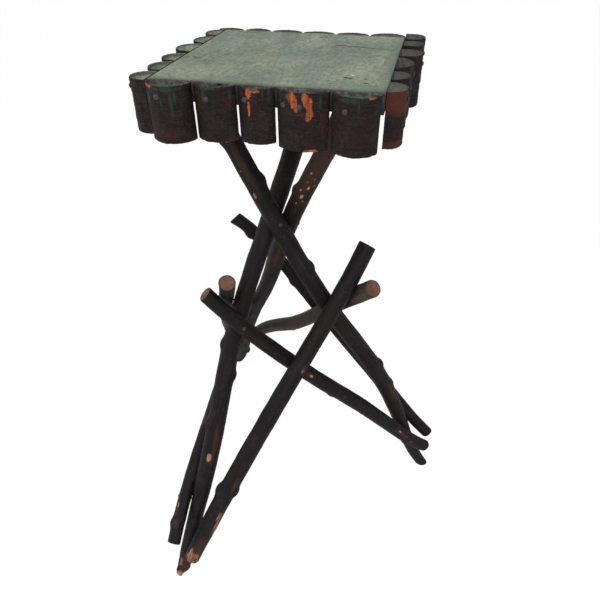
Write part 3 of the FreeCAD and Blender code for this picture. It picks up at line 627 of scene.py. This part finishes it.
def log_values(marks, across, below_top, width, seed):
    """How bare, red and dripped on a place on a log is; it is given in shares and millimetres."""
    values = {}
    wobble = 0.325 * ripple(across * 9, below_top * 0.12, seed + 3)
    for kind in ("bare", "red", "drip"):
        strength = marks.get("redness", PLAIN_REDNESS) if kind == "red" else 1.0
        best = 0.0
        for mark_across, mark_down, mark_wide, mark_high in marks.get(kind, ()):
            far = math.hypot((across - mark_across) * width / (mark_wide / 2),
                             (below_top - mark_down) / (mark_high / 2))
            best = max(best, (1.35 - far + wobble) * strength)
        values[kind] = min(max(1.0, strength), best)
    return values


def split_log(node_name, outward, rightward, grime):
    """One log of the skirt, shaped to its node, with its bark, painted top, raw foot and flat side."""
    low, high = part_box(node_name)
    middle = (low + high) / 2
    width = abs((high - low).dot(rightward))
    foot = middle - outward * (abs((high - low).dot(outward)) / 2)
    probe_height = low.z + (high.z - low.z) * OUTLINE_HEIGHT
    outline = log_outline(shape_of(node_name), foot, probe_height, outward, rightward)
    seed = sum(ord(letter) for letter in node_name) * 0.37
    marks = log_marks.get(node_name, {})

    def log_point(turn, rise):
        """One point of a log's skin, with its place in the wood and its fields."""
        height = low.z + (high.z - low.z) * rise
        if turn <= ROUND_SHARE:
            share = turn / ROUND_SHARE
            exact = share * OUTLINE_STEPS
            first = min(int(exact), OUTLINE_STEPS - 1)
            radius = outline[first] + (outline[first + 1] - outline[first]) * (exact - first)
            angle = math.pi * share
            rightness, outness = -math.cos(angle), math.sin(angle)
            ease = min(1.0, outness * 2.2 + 0.15)
            swell = LUMP_DEPTH * ripple(-rightness * 1.43 + seed, outness * 1.43, height * 28.6)
            for depth, waves_round, waves_up in log_roughness:
                swell += depth * ripple(-rightness * waves_round, outness * waves_round,
                                        height * waves_up + seed)
            near_end = min(height - low.z, high.z - height)
            ragged = 0.6 + 0.8 * ripple(angle * 5, seed, near_end * 80)
            shrink = WORN_ROOM * fade(near_end, WORN_REACH) ** 2 * max(0.2, ragged) + SKIN_ROOM
            reach = radius + (swell - shrink) * ease
            point = Vector((foot.x, foot.y, height)) + (rightward * rightness + outward * outness) * reach
            across = rightness * radius / width
            out_by = outness * radius
        else:
            across = 0.5 - (turn - ROUND_SHARE) / (1 - ROUND_SHARE)
            point = Vector((foot.x, foot.y, height)) + rightward * (across * (outline[0] + outline[-1]))
            out_by = 0.0
        values = log_values(marks, across, (high.z - height) * 1000, width * 1000, seed)
        if turn <= ROUND_SHARE:
            point -= outward * BARE_DEPTH * values["bare"]
        if rise in (0.0, 1.0):
            inward = 1 if rise == 0 else -1
            point.z += SAW_UNEVENNESS * ripple(across * 4, out_by * 60, seed) * inward
        point.z = min(max(point.z, low.z), high.z)
        return point, Vector((across * width + seed, out_by, height)), values

    log = tube(LOG_AROUND, LOG_UP, log_point, ("bare", "red", "drip"))
    # a hair-wide slit at one corner of the flat side joins the two ends into one opening, so that one
    # cap closes all of it and sinks from both ends to the log's middle
    close_ends(log, log_cap_rings, 1, CAP_UNEVENNESS)
    rim, grain = log.verts.layers.float["rim"], log.verts.layers.float_vector["grain"]
    soiled = log.verts.layers.float.new("soiled")
    mark = log.verts.layers.float.new("mark")
    for vert in log.verts:
        from_flat = vert[grain].y
        vert[rim] *= held(from_flat / RIM_START)
        vert[soiled] = grime
        if high.z - vert.co.z < TOP_BAND:
            ragged = max(0.0, 0.5 + noise.noise(vert.co * 300))
            vert[mark] = JOINT_MARK * fade(from_flat, JOINT_MARK_REACH) * ragged
    for face in log.faces:
        if face.material_index == 1 and face.calc_center_median().z < middle.z:
            face.material_index = 2
        elif face.material_index == 0 and max(
                (vert.co - foot).dot(outward) for vert in face.verts) < FLAT_WITHIN:
            face.material_index = 3
    finish_piece(log, node_name.replace("_log_", "_split_log_"), (log_bark, paint, raw_ends, split_face),
                 node_name)


for edge_name, (outward, rightward, grime) in edges.items():
    for node_name in sorted(name for name in nodes if name.startswith(edge_name + "_log_")):
        if not node_name.endswith("nails"):
            split_log(node_name, Vector(outward), Vector(rightward), grime)


# The sticks: straight young shoots in smooth dark bark, bent here and there, with knots where twigs
# were cut off. Three are legs, sawn level at the floor and under the board, and six are braces.
def bark_of_sticks(name, dark, middle, pale, warm, warm_amount):
    """Tight bark with long fine furrows, pale pores, reddish wear and bare orange wood."""
    bark, tree = new_material(name)
    grain = field(tree, "grain", "Vector")
    furrows = clouds(grain, (1, 1, 0.09), 190, 6.0, 0.62)
    patches = clouds(grain, (1, 1, 0.45), 38, 4.0, 0.6)
    crust = clouds(grain, (1, 1, 0.8), 420, 5.0, 0.7)
    lichen = clouds(grain, (1, 1, 0.6), 95, 3.0, 0.55, (5, 2, 1))
    pores = add(tree, "ShaderNodeTexVoronoi", in_Scale=210, in_Randomness=1.0)
    join(stretched(grain, (1, 1, 2.2)), pores.inputs["Vector"])
    pore_mask = times(steep(pores.outputs["Distance"], 0.20, 0.11), steep(lichen, 0.46, 0.56))
    plain_bark = ramp(blend((patches, 0.5), (furrows, 0.5)), (0.28, dark), (0.5, middle), (0.72, pale))
    bared_wood = ramp(furrows, (0.36, (0.070, 0.030, 0.019)), (0.50, (0.20, 0.088, 0.052)),
                      (0.64, (0.36, 0.190, 0.125)))
    bark_colour = coated(plain_bark, (
        # greyer and warmer patches, and a darkened upper part
        (times(steep(lichen, 0.56, 0.72), 0.4), (0.026, 0.022, 0.025)),
        (times(steep(patches, 0.50, 0.36), warm_amount), warm),
        (times(field(tree, "dark"), steep(patches, 0.64, 0.44)), (0.0100, 0.0076, 0.0086)),
        # pale pores, reddened bark, and wood that has lost its bark
        (times(pore_mask, 0.5), (0.115, 0.090, 0.078)),
        (times(broken(field(tree, "red"), crust, 0.7, 0.55, 1.4), 0.65), (0.058, 0.024, 0.015)),
        (steep(blend((field(tree, "bare"), 0.7), (furrows, 0.9), (crust, 0.7)), 1.04, 1.24), bared_wood)))
    bumps = relief(pore_mask, 0.0003, 0.5, relief(crust, 0.0005, 0.7, relief(furrows, 0.0009, 0.6)))
    finish_material(bark_colour, bumps, (0.42, 0.74), crust, in_Specular_IOR_Level=BARK_SHINE)
    return bark


black_bark = bark_of_sticks("near-black bark", (0.003, 0.0024, 0.0028), (0.0076, 0.0058, 0.0070),
                            (0.018, 0.0138, 0.016), (0.015, 0.0085, 0.007), 0.5)
red_bark = bark_of_sticks("reddish dark bark", (0.0035, 0.002, 0.0025), (0.0085, 0.0055, 0.0062),
                          (0.018, 0.012, 0.013), (0.028, 0.010, 0.007), 0.7)
tan_bark = bark_of_sticks("tan brown bark", (0.012, 0.008, 0.0055), (0.036, 0.026, 0.019),
                          (0.074, 0.056, 0.042), (0.050, 0.027, 0.017), 0.5)
stick_ends = sawn_ends("sawn stick ends", (0.016, 0.008, 0.006), (0.105, 0.040, 0.020),
                       (0.215, 0.092, 0.044), 260, 0.5)

# each stick's bark, and its bare and reddened places: the share of its length from the foot, the
# degrees round it from its front (to the right as one looks at it), and the length and width in mm
stick_looks = {
    "right_leg": (black_bark, {
        "bare": ((0.80, -44, 10, 6), (0.845, -50, 5, 3)),
        "red": ((0.86, -20, 130, 14), (0.27, 20, 60, 10))}),
    "front_leg": (black_bark, {
        "bare": ((0.266, 0, 16, 9), (0.0, 10, 24, 30), (0.03, -30, 20, 8)),
        "red": ((0.30, 25, 100, 12), (0.03, 20, 50, 28), (0.262, 12, 26, 12))}),
    "rear_leg": (red_bark, {
        "bare": ((0.800, 0, 7, 3.5), (0.812, -22, 5, 4), (0.823, 14, 7, 3.5), (0.835, -8, 5, 3),
                 (0.79, 20, 6, 3), (0.845, 22, 5, 3), (0.855, -14, 4, 3), (0.78, -12, 5, 3),
                 (0.83, 40, 5, 3)),
        "red": ((0.88, 0, 210, 34), (0.62, 10, 90, 12), (0.20, 10, 60, 14))}),
    "front_brace_over_right": (black_bark, {
        "bare": ((0.012, 0, 34, 26), (0.15, 40, 46, 5), (0.12, 58, 30, 3), (0.165, 26, 24, 2.5),
                 (0.635, 40, 6, 5)),
        "red": ((0.05, 10, 60, 22), (0.14, 48, 76, 12), (0.64, 30, 20, 10), (0.27, 20, 40, 8))}),
    "front_brace_over_rear": (black_bark, {
        "bare": ((0.41, -66, 12, 3.5), (0.385, -72, 6, 4), (0.115, -45, 10, 4)),
        "red": ((0.40, -50, 50, 10), (0.11, -50, 30, 12), (0.06, -20, 16, 14))}),
    "right_brace_over_front": (black_bark, {
        "bare": ((0.585, 0, 6, 3.5), (0.155, 10, 7, 3)),
        "red": ((0.59, 0, 22, 10), (0.14, 0, 60, 10))}),
    "right_brace_over_rear": (black_bark, {"red": ((0.29, -10, 80, 7),)}),
    "rear_brace_over_front": (black_bark, {}),
    "rear_brace_over_right": (tan_bark, {"red": ((0.52, 10, 50, 8),), "dark_from": 0.66}),
}
FRONT = Vector((0.25, -0.75, 0.6)).normalized()
# a stick's line runs between the middles of its two ends, found again until it is steady
LINE_ROUNDS, END_LENGTH = 6, 0.03
# its skin is read with rays from outside, at stations along the line, the first just inside its foot
REACH, STATION_GAP, END_ROOM, FIRST_MIDDLE = 0.04, 0.004, 0.0015, 0.02
MIDDLE_RAYS, MIDDLE_ROUNDS, MIDDLE_STRAY = 24, 3, 0.004
AROUND, SKIN_STEP = 60, 0.0019
SLOPE_STATIONS = 8
# a ray that falls into a nail hole tells nothing about the bark
LEAST_RADIUS, MOST_RADIUS = 0.82, 1.4
SMOOTHINGS = 2
# legs are made longer than they are, and then sawn level
LEG_SPARE = 0.03
# unevenness of the bark: depth, waves round the stick, and waves in a metre of its length
stick_roughness = ((0.00055, 1.2, 28), (0.00028, 5, 60), (0.00016, 14, 40))
STICK_ROOM, STICK_WORN_ROOM, STICK_WORN_REACH, STICK_BARE_DEPTH = 0.0001, 0.0008, 0.0022, 0.0005
# the share of the length over which a darkened upper part comes in
DARK_COMES_IN = 0.08
stick_cap_rings, STICK_CAP_UNEVENNESS = (0.96, 0.92, 0.86, 0.7, 0.45, 0.2), 0.0003


def middle_of(points):
    """The middle of some points."""
    return sum(points, Vector()) / len(points)


def line_of(points):
    """A stick's middle, direction, lowest place along that, length, and the middle of its low end."""
    middle = middle_of(points)
    far_point = max(points, key=lambda point: (point - middle).length)
    for _ in range(LINE_ROUNDS):
        along = (far_point - middle).normalized()
        if along.z < 0:
            along.negate()
        places = [(point - middle).dot(along) for point in points]
        top, bottom = max(places), min(places)
        low_end = middle_of([point for point, place in zip(points, places) if place < bottom + END_LENGTH])
        high_end = middle_of([point for point, place in zip(points, places) if place > top - END_LENGTH])
        far_point = middle + (high_end - low_end)
    return middle, along, bottom, top - bottom, low_end


def middles_along(surface, start, along, middle, bottom, length, rays):
    """The middle of a stick's skin at each station, or where it should be, and whether it was met."""
    stations = int(length / STATION_GAP)
    centre = start - along * ((start - middle).dot(along) - bottom - FIRST_MIDDLE)
    middles, met = [], []
    for station in range(stations + 1):
        level = bottom + END_ROOM + (length - 2 * END_ROOM) * station / stations
        guess = centre - along * ((centre - middle).dot(along) - level)
        for _ in range(MIDDLE_ROUNDS):
            hits = [surface.ray_cast(guess + ray * REACH, -ray, REACH)[3] for ray in rays]
            if None in hits:
                break
            usual = sorted(hits)[MIDDLE_RAYS // 2]
            near = [far if abs(far - usual) < MIDDLE_STRAY else usual for far in hits]
            guess += sum((ray * (REACH - far) for ray, far in zip(rays, near)), Vector()) / (MIDDLE_RAYS / 2)
        if None not in hits:
            centre = guess
        middles.append(guess)
        met.append(None not in hits)
    return middles, met


def skin_round(surface, middle, rays):
    """How far a stick's skin lies from its middle, all round, without its nail holes."""
    hits = [surface.ray_cast(middle + ray * REACH, -ray, REACH)[3] for ray in rays]
    radii = [0.0 if far is None else REACH - far for far in hits]
    usual = sorted(radii)[AROUND // 2]
    return [radius if LEAST_RADIUS < radius / usual < MOST_RADIUS else usual for radius in radii]


def smoothed(rows):
    """Rows of radii with the facets of the measured skin evened out."""
    last = len(rows) - 1
    return [[(2 * row[step] + row[step - 1] + row[(step + 1) % AROUND]
              + rows[max(index - 1, 0)][step] + rows[min(index + 1, last)][step]) / 6
             for step in range(AROUND)] for index, row in enumerate(rows)]


def stick_values(marks, share, length, angle, radius, wobble):
    """How bare, red and dark a place on a stick is."""
    values = {"dark": held((share - marks.get("dark_from", 2.0)) / DARK_COMES_IN)}
    for kind in ("bare", "red"):
        best = 0.0
        for mark_share, mark_turn, mark_long, mark_wide in marks.get(kind, ()):
            off = (math.degrees(angle) - mark_turn + 180) % 360 - 180
            far = math.hypot((share - mark_share) * length * 1000 / (mark_long / 2),
                             math.radians(off) * radius * 1000 / (mark_wide / 2))
            best = max(best, 1.3 - far + 0.3 * wobble)
        values[kind] = min(1.0, best)
    return values


def bark_stick(node_name, bark, marks):
    """One stick, shaped to its node, with its bark and its sawn ends."""
    surface = shape_of(node_name)
    points = [vert.co.copy() for vert in nodes[node_name].data.vertices]
    middle, along, bottom, length, low_end = line_of(points)
    is_leg = node_name.endswith("_leg")
    side = along.cross(FRONT).normalized()
    ahead = side.cross(along)

    def ray_at(angle):
        """A direction out of the stick, turned from its front."""
        return side * math.sin(angle) + ahead * math.cos(angle)

    def rays(count):
        """Directions all round the stick."""
        return [ray_at(2 * math.pi * step / count) for step in range(count)]

    middles, met = middles_along(surface, low_end, along, middle, bottom, length, rays(MIDDLE_RAYS))
    stations = len(middles) - 1
    first_met, last_met = met.index(True), stations - met[::-1].index(True)
    slope_low = (middles[first_met + SLOPE_STATIONS] - middles[first_met]) / SLOPE_STATIONS
    slope_high = (middles[last_met] - middles[last_met - SLOPE_STATIONS]) / SLOPE_STATIONS
    for index in range(stations + 1):
        if index < first_met:
            middles[index] = middles[first_met] - slope_low * (first_met - index)
        elif index > last_met:
            middles[index] = middles[last_met] + slope_high * (index - last_met)
        elif not met[index]:
            middles[index] = (middles[index - 1] + middles[index + 1]) / 2
    skin_rays = rays(AROUND)
    measured = [skin_round(surface, middles[index], skin_rays) for index in range(first_met, last_met + 1)]
    radii = [measured[min(max(index, first_met), last_met) - first_met] for index in range(stations + 1)]
    for _ in range(SMOOTHINGS):
        radii = smoothed(radii)
    seed = sum(ord(letter) for letter in node_name) * 0.53
    spare = LEG_SPARE if is_leg else 0.0
    total = length + 2 * spare
    between_stations = length - 2 * END_ROOM

    def stick_point(turn, rise):
        """One point of a stick's skin, with its place in the wood and its fields."""
        distance = rise * total - spare
        exact = min(max((distance - END_ROOM) / between_stations * stations, 0.0), float(stations))
        first = min(int(exact), stations - 1)
        part = exact - first
        past = distance - (END_ROOM + between_stations * exact / stations)
        slope = slope_low if past < 0 else slope_high
        step_out = slope * (past / slope.dot(along)) if is_leg else along * past
        step = turn * AROUND
        one, mix = int(step) % AROUND, step - int(step)
        two = (one + 1) % AROUND
        radius = ((radii[first][one] * (1 - mix) + radii[first][two] * mix) * (1 - part)
                  + (radii[first + 1][one] * (1 - mix) + radii[first + 1][two] * mix) * part)
        angle = 2 * math.pi * turn
        across, forward = math.sin(angle), math.cos(angle)
        wobble = ripple(across * 3, forward * 3, distance * 90 + seed)
        values = stick_values(marks, distance / length, length, angle, radius, wobble)
        worn = 0.0 if is_leg else fade(min(distance, length - distance), STICK_WORN_REACH)
        radius -= STICK_ROOM + STICK_WORN_ROOM * worn * worn + STICK_BARE_DEPTH * values["bare"]
        for depth, waves_round, waves_up in stick_roughness:
            radius += depth * ripple(across * waves_round, forward * waves_round, distance * waves_up + seed)
        point = middles[first].lerp(middles[first + 1], part) + step_out + ray_at(angle) * radius
        return point, Vector((across * radius, forward * radius, distance + seed)), values

    stick = tube(AROUND, int(total / SKIN_STEP), stick_point, ("bare", "red", "dark"))
    if is_leg:
        foot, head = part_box(node_name)
        for height, normal in ((foot.z, (0, 0, -1)), (head.z, (0, 0, 1))):
            bmesh.ops.bisect_plane(stick, geom=stick.verts[:] + stick.edges[:] + stick.faces[:],
                                   plane_co=(0, 0, height), plane_no=normal, clear_outer=True)
    close_ends(stick, stick_cap_rings, 1, STICK_CAP_UNEVENNESS)
    finish_piece(stick, node_name + "_stick", (bark, stick_ends), node_name)


for node_name, (bark, marks) in stick_looks.items():
    bark_stick(node_name, bark, marks)


# The nails: old wire nails with flat heads. Those in the logs and sticks are dull grown-over steel,
# and the heads above the legs went under the board's paint.
def old_steel(name, base, rust, rust_amount):
    """Dull steel with rust on it."""
    steel, tree = new_material(name)
    here = add(tree, "ShaderNodeTexCoord").outputs["Object"]
    spots = clouds(here, (1, 1, 1), 900, 4.0, 0.6)
    steel_colour = over(times(steep(spots, 0.42, 0.62), rust_amount), base, rust)
    finish_material(steel_colour, relief(spots, 0.0002, 0.6), (0.4, 0.75), spots, in_Metallic=0.35)
    return steel


nail_steel = old_steel("dull nail steel", (0.040, 0.039, 0.044), (0.022, 0.014, 0.012), 0.6)
painted_nail = old_steel("nail under paint", (0.130, 0.150, 0.120), (0.060, 0.055, 0.045), 0.7)
for node_name, piece in nodes.items():
    if node_name.endswith("_nails"):
        piece.data.materials.clear()
        piece.data.materials.append(painted_nail if node_name == "leg_top_nails" else nail_steel)
